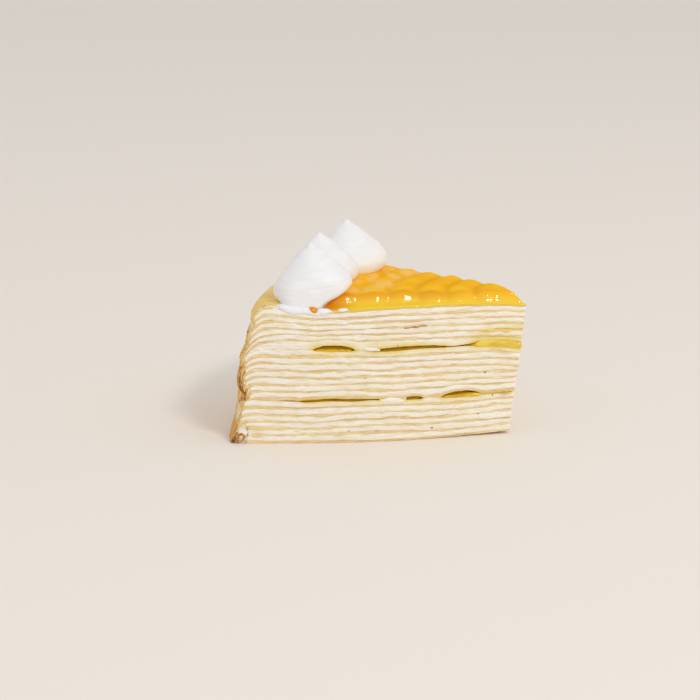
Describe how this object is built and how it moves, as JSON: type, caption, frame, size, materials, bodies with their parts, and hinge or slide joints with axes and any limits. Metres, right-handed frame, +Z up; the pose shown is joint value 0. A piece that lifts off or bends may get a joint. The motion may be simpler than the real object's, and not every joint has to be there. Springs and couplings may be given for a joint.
{
  "type": "crepe cake",
  "caption": "Wedge slice of a mango crepe cake: thin pancakes with whipped cream between, two sheets of curd, a glossy rippled curd topping and kisses of cream along the rim.",
  "frame": {"origin": "middle of the slice's bounding box, on its flat underside", "axes": "+X towards the slice's tip, along the front cut face, which looks to -Y; +Z up"},
  "size_m": [0.1136, 0.089, 0.0751],
  "materials": {
    "crepe": "soft pale golden pancake, browned at the rim",
    "cream": "soft ivory whipped cream",
    "curd": "wet glossy yellow curd",
    "topping": "wet glossy golden mango curd",
    "dollop": "smooth white whipped cream"
  },
  "bodies": {
    "root": {"crepe_01": "crepe", "crepe_02": "crepe", "crepe_03": "crepe", "crepe_04": "crepe", "crepe_05": "crepe", "crepe_06": "crepe", "crepe_07": "crepe", "crepe_08": "crepe", "crepe_09": "crepe", "crepe_10": "crepe", "crepe_11": "crepe", "crepe_12": "crepe", "crepe_13": "crepe", "crepe_14": "crepe", "crepe_15": "crepe", "crepe_16": "crepe", "crepe_17": "crepe", "crepe_18": "crepe", "crepe_19": "crepe", "cream_01": "cream", "cream_02": "cream", "cream_03": "cream", "cream_04": "cream", "cream_05": "cream", "cream_06": "cream", "cream_07": "cream", "cream_08": "cream", "cream_09": "cream", "cream_10": "cream", "cream_11": "cream", "cream_12": "cream", "cream_13": "cream", "cream_14": "cream", "cream_15": "cream", "cream_16": "cream", "cream_17": "cream", "cream_18": "cream", "cream_19": "cream", "curd_low": "curd", "curd_high": "curd", "topping": "topping", "dollop_front": "dollop", "dollop_middle": "dollop", "dollop_back": "dollop"}
  },
  "joints": []
}
